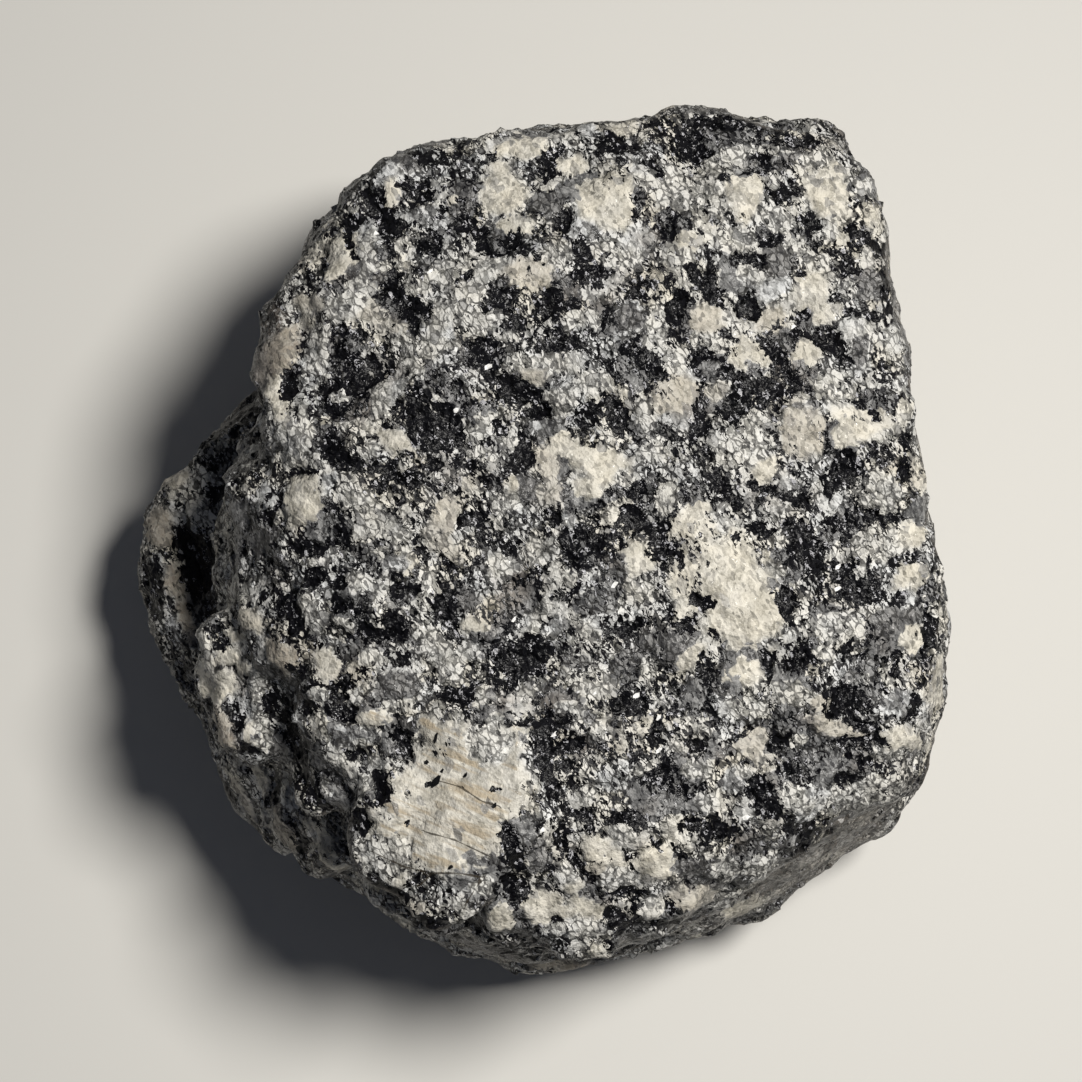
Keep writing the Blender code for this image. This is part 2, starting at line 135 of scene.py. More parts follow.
# Crystals that the camera sees. Each has its place on the plane through the camera's target, square to
# the view, its half length, half width and bearing there, counted from right to up.
DARK_CLOTS = (
    # far left of the top
    (-14, 39.3, 2.6, 1.2, -20), (-12, 42.6, 2.8, 1, 0), (-8.6, 43.4, 1, 0.6, 0),
    (-17.5, 36.4, 3.4, 1.2, -50), (-17.2, 33.5, 2, 0.9, -60), (-16.6, 29.5, 3, 0.6, -80),
    (-15, 25, 2.2, 0.8, -50), (-12.2, 33, 1.8, 1.3, 0), (-8.6, 35, 2, 0.9, 0),
    (-8.8, 29.2, 1.2, 0.8, 20), (-13.8, 26.2, 2.2, 1.2, -30), (-22.6, 22.5, 1.8, 1, 90),
    (-20, 19.5, 3.4, 1.6, -20), (-20.2, 22.6, 1, 0.7, 0), (-7, 21.5, 1.6, 1.2, 0),
    (-6.6, 33, 1.8, 0.8, -60), (-21.2, 35.4, 1.4, 0.7, -20),
    # far middle
    (0.6, 41, 1.6, 1, 30), (1.4, 43, 1.2, 0.6, 30), (2.6, 35.6, 1.4, 1.1, 0), (-3.2, 33.4, 1.4, 0.8, 0),
    (-5.6, 32.2, 1.8, 0.7, -20), (8, 44.2, 3.6, 1, -5), (14.2, 34.8, 2.2, 1, 80),
    (12.6, 41.4, 1.8, 0.6, -40), (16.8, 43.4, 2.6, 0.9, -25), (5.6, 29.4, 2.4, 0.9, -10),
    (12, 28, 2.6, 1.4, 0), (15.4, 26.2, 2, 1.1, 70), (18.8, 28.4, 2, 1.4, -30), (17, 30, 1.6, 0.8, -50),
    (-4.2, 27, 1.6, 1.2, 0), (-2.8, 24.8, 1.8, 0.8, -45), (2, 26.6, 2.4, 0.7, -5), (7.6, 25, 1.6, 1, 40),
    (2.4, 21.8, 2.4, 1.1, 0), (-6.5, 20.6, 2, 1, -30), (11, 20.6, 2.6, 0.9, -30),
    (12.4, 19.2, 1.4, 1.2, 0), (17.8, 20.6, 1, 0.9, 0), (4.8, 32.2, 1.8, 0.6, -40),
    # far right and the hump
    (22, 46.4, 5, 1, -3), (16.8, 45, 1.4, 0.6, 0), (29, 44.3, 2, 0.4, -5), (24.8, 42.4, 0.9, 0.6, 0),
    (27.2, 38.6, 1.4, 1.4, 0), (29.6, 35.4, 1.4, 1, -20), (35.2, 34.2, 2.4, 0.8, -25),
    (37.6, 32.6, 1.6, 0.8, -50), (25.6, 33.4, 1.6, 0.8, 10), (23, 31.2, 2.6, 0.8, 0),
    (33.6, 31.2, 1.8, 1, -40), (23.2, 26.2, 1.6, 1.2, 20), (28.6, 25.2, 1.4, 0.8, -10),
    (36, 25.2, 2.4, 0.7, -5), (31.8, 22.2, 1.8, 1.2, 0), (33.4, 21, 2.6, 0.9, -20),
    (26, 20.8, 2.4, 0.9, -35), (21.5, 18.6, 2, 1, 0), (38.6, 19.2, 1.4, 0.9, -60),
    (38.4, 28.8, 2, 0.9, 90),
    # shoulder and the slope above it
    (-33.5, 13.5, 4, 3, 0), (-36.5, 5.2, 1.6, 1, 0), (-38.6, -2.6, 5, 2, 95), (-36.8, -7.6, 2, 1.2, -70),
    (-23.2, 11, 1.2, 1, 0), (-21.6, 8.6, 3, 1.2, -15), (-26.6, 7.6, 1.3, 0.7, 0), (-23.6, 17, 1.6, 1, 0),
    (-20.6, 17.4, 1.6, 1.4, 0), (-30.2, 3.2, 1.6, 0.9, 90), (-26.2, -0.9, 2.2, 0.9, 0),
    (-22.6, 0.2, 1.5, 1, 90), (-22.6, -4.8, 1.6, 1, 0), (-33.6, -0.6, 1.6, 1, 0),
    # middle
    (-13, 14.4, 3.8, 2.2, -30), (-12, 11, 2.6, 1.2, -10), (-9.4, 16.4, 1.2, 0.9, 90),
    (-15, 7.2, 3, 1, -10), (-8.6, 8.8, 2.2, 0.9, -10), (-2.6, 16.6, 4.4, 1.2, -25),
    (-0.4, 14.2, 2.4, 0.6, 0), (-6.6, 19.4, 2, 0.9, -30), (5.4, 13.8, 1.8, 1.6, 40),
    (8.4, 14, 2, 1.2, -50), (6, 10.8, 0.8, 0.5, 0), (-2.4, 10.4, 2.2, 0.6, 100),
    (-2.2, 8.8, 1.4, 0.7, 20), (-5.9, 11.3, 1.4, 0.5, -55), (-8, 2.6, 1.6, 0.8, 20),
    (1.2, 2.8, 1.4, 0.9, 0), (6, 0.2, 4, 2.2, -10), (3.4, -2, 2, 1.6, 90), (-2.8, -5, 1.2, 0.8, 0),
    (-5.6, 0.8, 2, 0.8, -10), (-15.4, -5.2, 1.8, 0.8, 0), (-11.2, -1.2, 2.6, 0.4, -60),
    (7.8, 18.8, 1.8, 0.4, -60), (9.8, 2.4, 1.6, 1.4, 0), (-10.8, -6.8, 1.2, 1, 0),
    # right
    (17.6, 15, 5, 0.7, 92), (18, 10.4, 2.6, 1, -50), (21.6, 15.2, 2, 1.2, 40), (24.4, 17.2, 3, 1.2, -10),
    (27.8, 17.8, 2.2, 0.9, -50), (34, 8.6, 1.8, 1.6, 20), (24.6, 1.2, 1.4, 0.8, -10),
    (29.4, -0.6, 3.4, 1.8, -60), (31.4, 3.2, 3.4, 1, -30), (26.4, 5.2, 3.6, 0.7, -25),
    (34, -3.6, 3.2, 1.4, -10), (36.4, -5.6, 3, 1.4, 0), (40, -2.2, 2.2, 0.6, 10),
    (40.4, 11.6, 3, 0.5, 95), (40.8, 7, 1.6, 0.5, -60), (37.6, 3, 3, 0.6, -10), (12.6, 1.2, 1.8, 0.9, 0),
    (14.4, -0.8, 2, 0.7, -40), (15.8, -2.4, 1.2, 0.4, 100), (10.8, 5.6, 1.4, 1, 0),
    (18.4, -6.6, 1.6, 0.8, -20), (27, -6.6, 1.6, 1.8, 90),
    # near left slope
    (-27, -8.6, 3, 1, -60), (-29.2, -18.6, 2.4, 1.2, -40), (-27.2, -23.4, 4.6, 0.9, -72),
    (-34, -24, 2.2, 0.9, -30), (-29.6, -26.5, 2.6, 0.7, -80), (-25.2, -29.4, 2.2, 1.4, 0),
    (-20.2, -23.8, 0.8, 0.6, 0), (-21.6, -19.2, 1.6, 0.9, 0), (-17.6, -10.6, 2.2, 0.9, -15),
    (-22.8, -7.2, 1.2, 0.8, 0), (-26, -34.4, 1.6, 1, -50), (-20.4, -31, 1.8, 1.2, -40),
    (-23.8, -16, 2, 0.3, -5),
    # near middle
    (-2.4, -12.6, 3.6, 2.4, -20), (-16.4, -9.6, 2.4, 1.2, -60), (-10.4, -9, 3, 0.5, -55),
    (-9.6, -17.2, 2, 1, 0), (-15.4, -22, 2, 1.2, -70), (-18, -27.4, 2.4, 1, -70),
    (-3.6, -18.8, 1.6, 0.6, 0), (0.8, -24, 5, 1.1, -85), (2, -32, 2, 1, -85), (3.4, -22.6, 1.8, 1.2, 0),
    (-3, -34.6, 3, 1, -70), (-3.2, -38.6, 1.8, 1.6, 0), (1.8, -41.8, 0.7, 0.7, 0),
    (-7.4, -42.2, 1.6, 1.4, 0), (-11.6, -42.9, 3.4, 0.8, -15), (-17, -38.8, 2.6, 0.7, -30),
    (-4, -45.6, 6, 1.2, -12), (4.8, -36.8, 3.4, 0.5, -50), (8.8, -42, 2.4, 1.4, 0),
    (9.6, -39, 1.6, 1, 0), (9.8, -9.6, 2.2, 1.2, 0), (9, -18.3, 1.4, 1.2, 0),
    # near right
    (16, -9.2, 2.6, 0.6, -15), (18.2, -14.4, 2.2, 0.9, -75), (27.6, -12.8, 3.4, 0.9, -8),
    (38, -12.8, 3.4, 0.6, -5), (34, -17.6, 2.8, 1.8, 0), (35.6, -20.4, 2, 0.6, -10),
    (17.2, -22.6, 1.4, 0.8, 0), (13.6, -26.4, 2.6, 1.6, 0), (16.4, -28, 1.6, 1.2, 0),
    (26.4, -22.4, 1.2, 0.8, 0), (35, -22.4, 3, 0.8, 0), (29, -26, 2.4, 1.3, 0),
    (24.6, -28.6, 3, 1.6, -60), (19.6, -32.2, 2.2, 1, 0), (28.6, -31.8, 2.6, 0.9, -15),
    (32.4, -31, 2.4, 0.35, 12), (42.8, -10, 2.6, 0.7, 95), (42.8, -25.6, 2.6, 0.7, 75),
    (14.4, -42.6, 3.4, 0.6, -10), (14.6, -40.6, 1.4, 0.5, -50), (24.4, -38.6, 2.6, 1, 0),
    # specks in the great feldspar
    (-12, -27, 0.8, 0.6, 0), (-8.2, -26.2, 0.5, 0.35, 0), (-5.2, -27.7, 0.6, 0.35, 0),
    (-14.8, -31.2, 0.4, 0.4, 0), (-4.5, -32.7, 0.4, 0.4, 0), (-6.6, -20.4, 0.6, 0.5, 0),
    (-3.8, -20.5, 0.7, 0.6, 0),
    # specks in the cream feldspar and its neighbour
    (17, -6.5, 0.5, 0.4, 0), (18.5, -6.8, 0.5, 0.4, 0), (26, -5.6, 0.6, 0.5, 0), (23.8, 12, 0.5, 0.4, 0),
    # small ones between the crystals
    (-28.3, 16.5, 3, 1.2, 80), (-22.8, 15, 1.6, 0.7, 0), (-19.8, 11.4, 0.9, 0.7, 0),
    (-17, 13, 1, 0.8, 0), (-12, 8.5, 1.4, 1.1, 0), (-29.5, 4.6, 1.2, 1, 0), (-34, 7, 1.1, 0.9, 0),
    (-18, 6, 1, 0.8, 0), (-9, 19, 1.2, 0.6, -20), (-4, 12.5, 1.2, 0.8, -30), (-21.2, 32.5, 1.8, 0.8, 90),
    (-18, 35.5, 1.2, 0.7, -50), (-5.4, 43, 1, 0.7, 0), (-11, 36, 1.8, 0.7, -80), (-6, 26, 1.2, 0.9, 0),
    (0, 31, 0.9, 0.7, 0),
    (12.5, 27.3, 1.3, 1, 0), (17.4, 14.5, 6, 0.7, 88), (18.6, 8.4, 2.8, 1.3, -50),
    (14.6, 10.6, 2, 1.2, -40), (26, 24, 1.7, 1, 40), (19.5, 26.6, 1.6, 0.7, -20),
    (22.8, 25.6, 1.6, 0.8, -30), (38, 18, 1.2, 0.7, -50), (37, 14, 1.2, 0.7, -30),
    (32, 5.6, 1.9, 0.9, 85), (24.6, 4, 1.6, 1, 60), (13, 40.5, 1, 1, 0), (34.4, 33, 1, 0.7, 0),
    (-36.3, -11, 1.9, 1, 90), (-16.6, -13, 1.9, 1.1, 10), (-20.6, -15, 1.4, 1, 0),
    (-25, -11.5, 1.2, 0.8, 0), (-22.6, -17, 1.2, 0.7, -30), (-33.6, -19.4, 1.8, 1.2, -70),
    (-32.4, -23, 1.6, 1.2, -50), (-26, -18.6, 1.4, 0.9, 0), (-21.4, -24, 1.6, 0.6, -40),
    (0.6, -32, 1, 0.8, 0), (-12.5, -1.4, 1.1, 0.8, 60), (-3.5, -1, 1.2, 1.2, 0), (-25, -4, 1.6, 1, 50),
    (-31, -6, 1.2, 0.7, 80), (-3, -16, 1, 0.9, 0), (-2, -20, 1.2, 1, 0), (-3.4, -9.5, 1, 0.8, 60),
    (-43, -5, 3, 1, 85),
    (22, -21.6, 2, 1.1, -20), (19.2, -20, 1.4, 0.7, 0), (26.8, -8, 1.4, 1, 0),
    (27, -11.4, 1.4, 0.7, -60), (34.5, -12, 1.6, 0.7, 80), (39.6, -14.5, 1.2, 0.9, 0),
    (41.5, -18, 1.2, 1, 80), (39.5, -6.5, 1.2, 1, 0), (10, -31.5, 2.6, 1.3, -20),
    (4, -30.2, 2, 0.8, -20), (16.6, -31.6, 1.3, 1, 0), (13, -34, 1.4, 0.7, -60),
    (33.6, -27, 1.2, 0.9, 0), (12.3, -1, 1.2, 1.1, 0), (3, -5, 1.4, 0.9, 0), (8, -8.6, 2, 0.6, 10),
    (12.5, -21.5, 1.5, 0.9, 90), (25, -14, 2.4, 0.6, 85), (19, -10.6, 1.4, 0.8, -50),
    (2.5, -25, 1.2, 0.7, 0),
)
PALE_CRYSTALS = {
    "white": (
        (-19.4, 31, 3.6, 1, 80), (-20, 28, 2, 1.2, 0), (-24.8, 21, 3.2, 1.4, 80), (-22, 26, 2, 1.6, 0),
        (-13, 21.5, 3.4, 1.6, 0), (-10.5, 25, 2.5, 1.8, 0), (-8, 27.5, 2.4, 1.2, 0),
        (-10.6, 29.8, 2.2, 1.4, 0), (15.6, 39.2, 3.6, 2.6, -10), (12, 40, 1.8, 1.2, 0),
        (-5, 31, 1.6, 1, 0), (1.6, 31.4, 2.2, 1.6, 0), (13, 23.2, 2.8, 1.6, 80), (15, 20.2, 1.8, 1.6, 0),
        (8.4, 31.8, 3, 1.4, 0), (4.6, 24.8, 2.2, 1.2, 0), (-6, 24.6, 2.2, 1.6, 0), (0, 19.6, 4, 1.2, 0),
        (14.8, 31.6, 2, 1.2, 0), (21, 33.4, 2.2, 1.6, 0), (25.6, 36, 2.6, 1.4, -30),
        (30.4, 42.6, 1.8, 1, 0), (24, 43.4, 4, 0.7, -3), (23.4, 29.6, 1.6, 1.2, 0),
        (30.4, 31, 1.4, 1, 0), (31.4, 34, 1.6, 1, 0), (38.2, 23, 2.4, 1.4, -50),
        (-28.6, 11.6, 1.2, 1.2, 0), (-26.4, 12.6, 2.6, 1.2, 100), (-27.8, 9.2, 1.4, 1, 0),
        (-24.6, 8.4, 1.8, 1, -30), (-19.6, 3, 3.8, 1.9, -40), (-24.8, -2.1, 1.2, 0.8, 0),
        (-20.2, -4.4, 1.6, 1.3, 0), (-22.6, 15.9, 1.3, 1.1, 0), (-17.8, 16, 2, 1.1, 100),
        (-21.8, 13, 1.4, 0.6, 0), (-18.8, 10.4, 0.9, 0.9, 0), (-37.4, 7.2, 1.2, 1, 0),
        (-37.4, 3.4, 1.2, 0.8, 90), (-35.6, -2.8, 1.8, 0.8, -65), (-32, -5.8, 1.6, 0.8, -60),
        (-7.4, 11.8, 1.6, 0.9, 30), (-6, 13.8, 1.4, 0.8, 0), (-3.6, 11.8, 1.6, 1.2, 90),
        (2.2, 15.6, 1.8, 1.4, -10), (5.8, 17.6, 2, 1.6, 0), (11.6, 13.8, 2.4, 1.5, 90),
        (9.2, 7, 1.6, 1.2, 0), (-3.8, 4.6, 2, 1.2, 30), (-14.8, 3, 1.4, 1.2, 0), (-15, 0, 1.8, 1.2, 0),
        (-0.4, -1, 1.8, 1.4, -20), (-4.6, -2.6, 1.6, 1.4, 0), (-12.4, -4.8, 1.4, 1.2, 0),
        (10.8, -5.6, 1.6, 1.4, 0), (24, 11.4, 3.2, 3, 60), (33, 17.2, 2.8, 1.6, -30),
        (37.6, 5.4, 2.4, 2.4, 30), (12.2, 9.8, 1.6, 1, 0), (20, 2.6, 2.6, 1.6, 0),
        (37.2, -0.8, 2.6, 1.8, -30), (-37.4, -11.4, 1.8, 0.7, -75), (-31.2, -16, 2, 0.9, 60),
        (-30.4, -21.2, 2.6, 0.9, -58), (-28.5, -27.1, 1, 0.4, 80), (-25, -32.8, 1.2, 0.7, -50),
        (-22.4, -35.2, 1.5, 0.9, -50), (-24.2, -27.2, 1.4, 0.7, -60), (-25.2, -8, 2.4, 1.2, -50),
        (-21.5, -9.2, 1.2, 0.7, -45), (-19, -12.8, 1.6, 1, 0), (-24.6, -17, 1.3, 0.8, -10),
        (-20.9, -17, 0.9, 0.9, 0), (-21.2, -25.4, 3, 1.3, -65), (-17.9, -24.8, 1.5, 1.1, 0),
        (-6.2, -23, 4, 3.4, 60), (-16.6, -34.6, 3.6, 2.4, 20), (-6.2, -17.2, 1.6, 0.9, 0),
        (4.6, -10.4, 1.3, 1.2, 90), (-11.4, -12.6, 3.4, 1.6, -50), (3.2, -18.6, 1.6, 1, 0),
        (-1.2, -16.6, 0.9, 0.9, 0), (6, -16, 2.2, 1.8, 0), (3, -37, 2.4, 1.3, 80), (2, -42.8, 1.8, 1, 0),
        (5.2, -42.8, 1.8, 0.9, 0), (-9.2, -40.2, 1.4, 1.2, 0), (-6.8, -38.4, 1.4, 1.2, 0),
        (9.2, -32.4, 1.4, 1.2, 0), (8.6, -37.4, 2.4, 1.4, 0), (27.4, -16.8, 3, 1.3, -15),
        (22.4, -18.6, 2.4, 1, -20), (13.6, -17.4, 1.4, 1.2, 90), (17.4, -25.4, 1.6, 1.3, 0),
        (18.4, -29.2, 1.4, 1.2, 0), (28.6, -22.2, 1.4, 0.8, 0), (42.2, -20.6, 1.6, 0.9, 0),
        (32.5, -9.8, 3, 2, 0), (36.4, -27.2, 2, 1.2, 0), (39.6, -27.6, 2.6, 1.2, 0),
        (36.5, -29, 5, 0.8, 8), (28.8, -29, 1.6, 1.4, 0), (33.2, -28.4, 1.2, 1.2, 0),
        (24.4, -36, 2, 1.2, 0), (-14.2, 28.5, 1.8, 1.4, 0), (-17.6, 30.4, 1.6, 0.9, 0),
        (-15.6, 22, 2, 1.2, -70), (-14, 19.4, 1.8, 0.8, -30), (-24, 17.6, 1.3, 0.8, 40),
        (-7.2, 33.4, 1.2, 0.8, 0), (-6, 8.8, 2.2, 1.6, 0), (-20.8, 3.6, 1.8, 1.1, 0),
        (-15.3, 8, 1.1, 1, 90), (-13.2, 14.6, 1.8, 0.8, 90), (-4, 23, 1.2, 1, 0), (1, 24.4, 1, 0.9, 0),
        (21, 41.8, 3.2, 1.1, 0), (25.7, 39.6, 1.6, 1, 90), (19, 22, 2.8, 1, -15),
        (14.6, 23.4, 1.2, 0.8, -40), (19.4, 37, 1.8, 0.9, -30), (28.8, 32.4, 2, 1.2, -30),
        (33.8, 28, 1.4, 1.2, 0), (37.8, 11.4, 1.2, 1, 0), (31, 17, 1.2, 1, 0), (35.6, 39, 1.6, 1.1, 90),
        (5.8, 27.4, 1.1, 0.9, 0), (-17.8, -8.4, 2.6, 1.3, 80), (-17.4, -5.2, 1.4, 1, 80),
        (-12.5, -6.5, 1.4, 1.1, 0), (-20.5, -21.8, 1.5, 1, -30), (-20, -26.6, 1.6, 1, -20),
        (-36, -2.6, 1.6, 0.8, -60), (-30, -22, 1.2, 1, 0), (-0.4, -26, 1, 0.9, 0),
        (-8, -12.4, 1.2, 1, 0), (-0.4, -8.4, 2.2, 0.8, 75), (-18, -1.4, 1.2, 1, 0),
        (5, -11.4, 1.9, 1.5, 0), (3.8, -14.8, 1.5, 1, 0), (12, -14, 1.4, 1.2, 80),
        (13, -16.4, 1.2, 1, 0), (5.4, -21, 2.4, 1, -15), (11.3, -25.4, 1.2, 1, 0),
        (22.6, -26.4, 2, 1.3, 0), (15.5, -23, 1.3, 1, 0), (31, -12.8, 1.4, 1, 0),
        (38.5, -23.4, 2.2, 0.9, -15), (35.6, -15.4, 1.4, 0.9, 0), (26.2, -3, 1.2, 0.9, 0),
        (35.6, -3.4, 1.2, 1, 80), (3.3, 2.2, 1.6, 1, 0), (20.5, -36, 1.9, 1.4, 0), (20, -40, 2, 1.4, 0),
    ),
    "cream": (
        (-16.8, 38.8, 2, 0.9, 75), (-22, 31.5, 3, 1.6, 60), (-2.4, 43.8, 2.8, 1.2, 0),
        (-4.2, 38.6, 3, 2.4, 90), (3.2, 41.6, 1.8, 1.2, 0), (6, 38, 2.6, 2.4, 90),
        (8.6, 37.6, 3.2, 2, 80), (16.4, 33.4, 1.8, 1.2, 0), (22.6, 38.4, 2.6, 2, 80),
        (32.2, 38.4, 3.2, 2, 100), (30.4, 27.2, 3, 2, 120), (29.4, 20.8, 1.6, 1.4, 90),
        (23.4, 21, 2.2, 1, -40), (-29, 15.6, 2.8, 1.2, 110), (-26.2, 4.3, 2.6, 1.9, 80),
        (-16.4, 11.2, 2, 1.1, -25), (2.6, 10.6, 1.6, 1.4, 0), (6.6, 8.4, 3.4, 2, -20),
        (5.2, 5.8, 1.8, 1.2, 0), (10.8, -2, 1.6, 1.6, 0), (35.4, 13.2, 3.4, 1.8, -10),
        (16.6, 2.2, 2.6, 1.8, 30), (21.5, -5.5, 6.6, 4.6, -65), (22.4, -14.4, 2, 1.4, 0),
        (41, 0.6, 1.6, 1.4, 90), (41, -3.8, 2, 1.4, 0), (-33.7, -10.6, 1.2, 0.8, -30),
        (-34.5, -12.9, 1.2, 1, 0), (-33.2, -14, 0.9, 0.8, 0), (-36.4, -16.2, 2.6, 1.1, -60),
        (-34.9, -15.6, 1.6, 0.9, -60), (-32.4, -21.3, 1.7, 0.7, -62), (-31, -26.2, 2.1, 0.7, -75),
        (-24, -13.6, 1.9, 1.1, -60), (-7.2, -9.4, 1.6, 0.8, 0), (0.2, -40.6, 2.8, 1.8, -10),
        (5.2, -40.8, 2, 1.2, -30), (-4.4, -41.8, 1.6, 1.6, -40), (7, -34.6, 2.6, 1.4, -30),
        (40.4, -22, 2.6, 1.2, 0), (43.6, -16, 3, 1, 90), (41, -10.8, 1.8, 1.4, 90),
        (12.6, -35.6, 2.2, 2, 0), (22.4, -40.6, 2.6, 1.2, 20), (-26, 25, 1.9, 1.1, 85),
        (-3, 35, 2.4, 1.2, 0), (-3, 6.4, 1.6, 1, -30), (-9, 38, 1.5, 1, 80), (22, 20.2, 1.6, 0.9, -50),
        (33.3, 11.4, 1.9, 1.3, 0), (25, 8, 1.6, 1.2, 60), (-23.4, -34.5, 4, 1.1, -55),
        (16, -12.6, 1.9, 1.4, 0), (16, -4.6, 4, 1.5, 88), (3.6, -38.4, 1.6, 1, 0),
        (18.8, 1.6, 1.5, 1.2, 0),
    ),
    "layered": (
        (-18.8, -19.6, 1.6, 0.9, -25), (-9.6, -28.2, 10.2, 6.6, 52), (-12.5, -20.8, 1.4, 1, -60),
    ),
    "buff": (
        (-25.6, 26.4, 1.6, 1.2, 0), (-1, 29.6, 2.6, 1.8, 0), (18.6, 24.6, 1.8, 1.6, 0),
        (25.4, 24.4, 1.6, 1.6, 0), (-40.6, 6.8, 1.4, 1.2, 0), (-0.6, 18.8, 1.8, 1.6, 0),
        (0.8, 8.4, 1.6, 1.4, 90), (-10.5, 3, 2, 1.2, 70), (14.8, 16.4, 2.6, 2, 0), (29, 12, 3, 2.4, 90),
        (-32, -8.6, 1.4, 1.2, 0), (-32.8, -28.8, 2.6, 0.6, -62), (-13.6, -41, 1.4, 1, 0),
        (9, -46.4, 3, 0.9, 10), (16, -45.2, 4, 0.8, 14), (23.4, -22.4, 1.8, 1.6, 0),
        (32.4, -20.6, 3.4, 0.9, -15), (17.4, -39.6, 3.2, 1.4, -5), (31.5, -18, 1.5, 1.1, 0),
        (6.5, -36.6, 1.2, 0.8, 0),
    ),
    "brown": (
        (-28.8, 21, 2.6, 1.6, 60), (-42.4, 1.6, 2.4, 1.4, 110), (-40.4, -5.4, 2.8, 0.9, -70),
        (-39.6, -8, 2.4, 0.9, -65), (-28.8, -12.8, 2.4, 1.2, -60), (-35.2, -20.9, 2.2, 1, -62),
        (-28.4, -32, 2.4, 0.8, -70), (2, -47, 3, 0.5, 0), (-13, -44.2, 4, 0.7, -22),
    ),
    "pink": (
        (-17.5, 24.5, 2.6, 1, -20), (0.8, 5.6, 1.4, 1.4, 0), (-11, -0.6, 2.4, 1, -50),
        (19.4, 16.8, 1.5, 1.3, 0), (25, -24.6, 1.4, 1.2, 0),
    ),
    "blue": (
        (-11.4, 35.4, 2.6, 1.2, -20), (4.4, 34.4, 1.8, 1, 0), (-0.6, 12.4, 1.8, 0.9, 0),
        (3.4, 2.2, 1.3, 1.3, 0), (-16.4, -2.4, 1.4, 1, 0), (-20.6, -21.5, 2.6, 1, -12),
        (1.2, -9.6, 1.4, 0.8, 0), (21.6, -26.6, 1.6, 1.3, 0), (40.2, -18.2, 2, 1.6, 0),
    ),
    "grey": (
        (-8.6, 38, 2.2, 1.4, 80), (-15, 42.2, 1.6, 0.7, -20), (0.6, 37.4, 1.6, 1.4, 0),
        (10.2, 24.6, 1.4, 1.2, 0), (26.6, 31.6, 1.8, 1.8, 0), (35.6, 21.2, 1.6, 0.8, 90),
        (36.6, 28.4, 2.2, 1.6, 0), (-1.6, 6, 1.8, 1.3, 90), (-8.6, -6.6, 1.6, 1.2, 0),
        (-29.2, -22.8, 1.8, 1.3, -50), (-16, -16.2, 2.4, 1.4, 0), (4, -13.2, 1.8, 1.2, 0),
        (-0.4, -35.4, 1.8, 1.2, 90), (14.5, -11.8, 3, 2, 0), (38.2, -9, 1.6, 1.4, 0),
        (40.9, -8.4, 1, 0.9, 0), (16.6, -36.4, 1.8, 1, 0), (-30.6, 0, 2, 1, 60), (-30, -14.6, 1.5, 1, 0),
    ),
}

# Where the old weathered skin is still on in the camera's view, in the same way, and the fresh broken
# slope on the left that has none: its centre and half lengths.
WEATHERED = (
    (31, -35.4, 10, 2.5, 29), (35.7, -31, 4.5, 1.3, 12), (-28.6, 30, 9, 2.6, 65), (9, -46.6, 9, 1.4, 8),
    (-13, -44.6, 5, 1.2, -22), (44.4, -22, 6, 1.6, 80), (-30, 21.4, 5, 1.6, 80),
)
FRESH_SLOPE = ((-38.0, -6.0, 30.0), (15.0, 30.0, 15.0))

# The streaks in a layered crystal lie along its cleavage, and the mica flakes along the rock's foliation.
CLEAVAGE_BEARING = -24
CLEAVAGE_STRETCH = (10.0, 0.8, 1.6)
FOLIATION_BEARING = -60
FOLIATION_STRETCH = (1.40, 0.80, 1.40)

# Thin cracks and threads of mica across the crystals, as lines of (across, along).
CRACKS = (
    ((-11.5, -26.6), (-9.0, -27.3), (-6.6, -28.9), (-4.5, -29.5)),
    ((-12.9, -32.3), (-9.6, -33.2), (-6.0, -34.9)),
    ((-13.4, -38.2), (-12.1, -36.9), (-9.0, -36.9), (-6.5, -37.4), (-8.5, -40.5)),
    ((-18.6, -34.6), (-15.2, -36.2), (-12.4, -36.8)),
)

# Spots with a painted glint, a white highlight where a flake would catch the lamp, and black specks, as
# (across, along, half size).
PAINTED_GLINTS = (
    (-18.4, 34.4, 0.2), (-12.6, 30.2, 0.2), (-9.5, 21.2, 0.2), (-6.0, 19.2, 0.2), (-9.2, 14.3, 0.2),
    (5.7, 11.3, 0.2), (-31.9, -4.9, 0.2), (-31.2, -6.3, 0.2), (-2.8, -9.0, 0.2), (10.8, -17.0, 0.32),
    (4.3, -17.0, 0.25), (6.0, -16.9, 0.2), (1.3, -21.2, 0.28), (0.9, -30.5, 0.28), (0.1, -32.2, 0.2),
    (-14.5, -19.8, 0.2), (-15.4, -39.0, 0.34), (13.2, -19.4, 0.2), (13.2, -23.6, 0.2), (22.8, -30.6, 0.4),
    (33.3, -2.4, 0.2), (33.0, -5.1, 0.2), (28.2, 23.6, 0.2), (35.3, 31.3, 0.2), (8.0, -4.7, 0.2),
)
SPECKS = (
    (-12.0, -26.9, 0.5), (-10.7, -25.4, 0.25), (-8.4, -26.0, 0.3), (-5.3, -27.6, 0.35), (-5.2, -29.5, 0.2),
    (-4.7, -32.8, 0.3), (-6.8, -20.3, 0.3), (-3.4, -20.3, 0.3), (-14.8, -31.2, 0.2), (-10.2, -35.9, 0.2),
    (-12.6, -24.4, 0.25), (-11.9, -22.0, 0.25), (-11.6, -21.5, 0.25), (-11.3, -26.2, 0.3),
)


def lattice_random(cells, seed):
    """A number from 0 to 1 for each whole-numbered cell, the same on every run."""
    cell = cells.astype(np.int64).astype(np.uint32)
    mixed = cell[..., 0] * np.uint32(374761393) + cell[..., 1] * np.uint32(668265263)
    mixed += cell[..., 2] * np.uint32(2246822519) + np.uint32(seed * 3266489917 % 2**32)
    for _ in range(2):
        mixed = (mixed ^ (mixed >> np.uint32(15))) * np.uint32(2654435761)
        mixed = (mixed ^ (mixed >> np.uint32(13))) * np.uint32(3266489917)
    return (mixed ^ (mixed >> np.uint32(16))).astype(np.float64) / 2**32


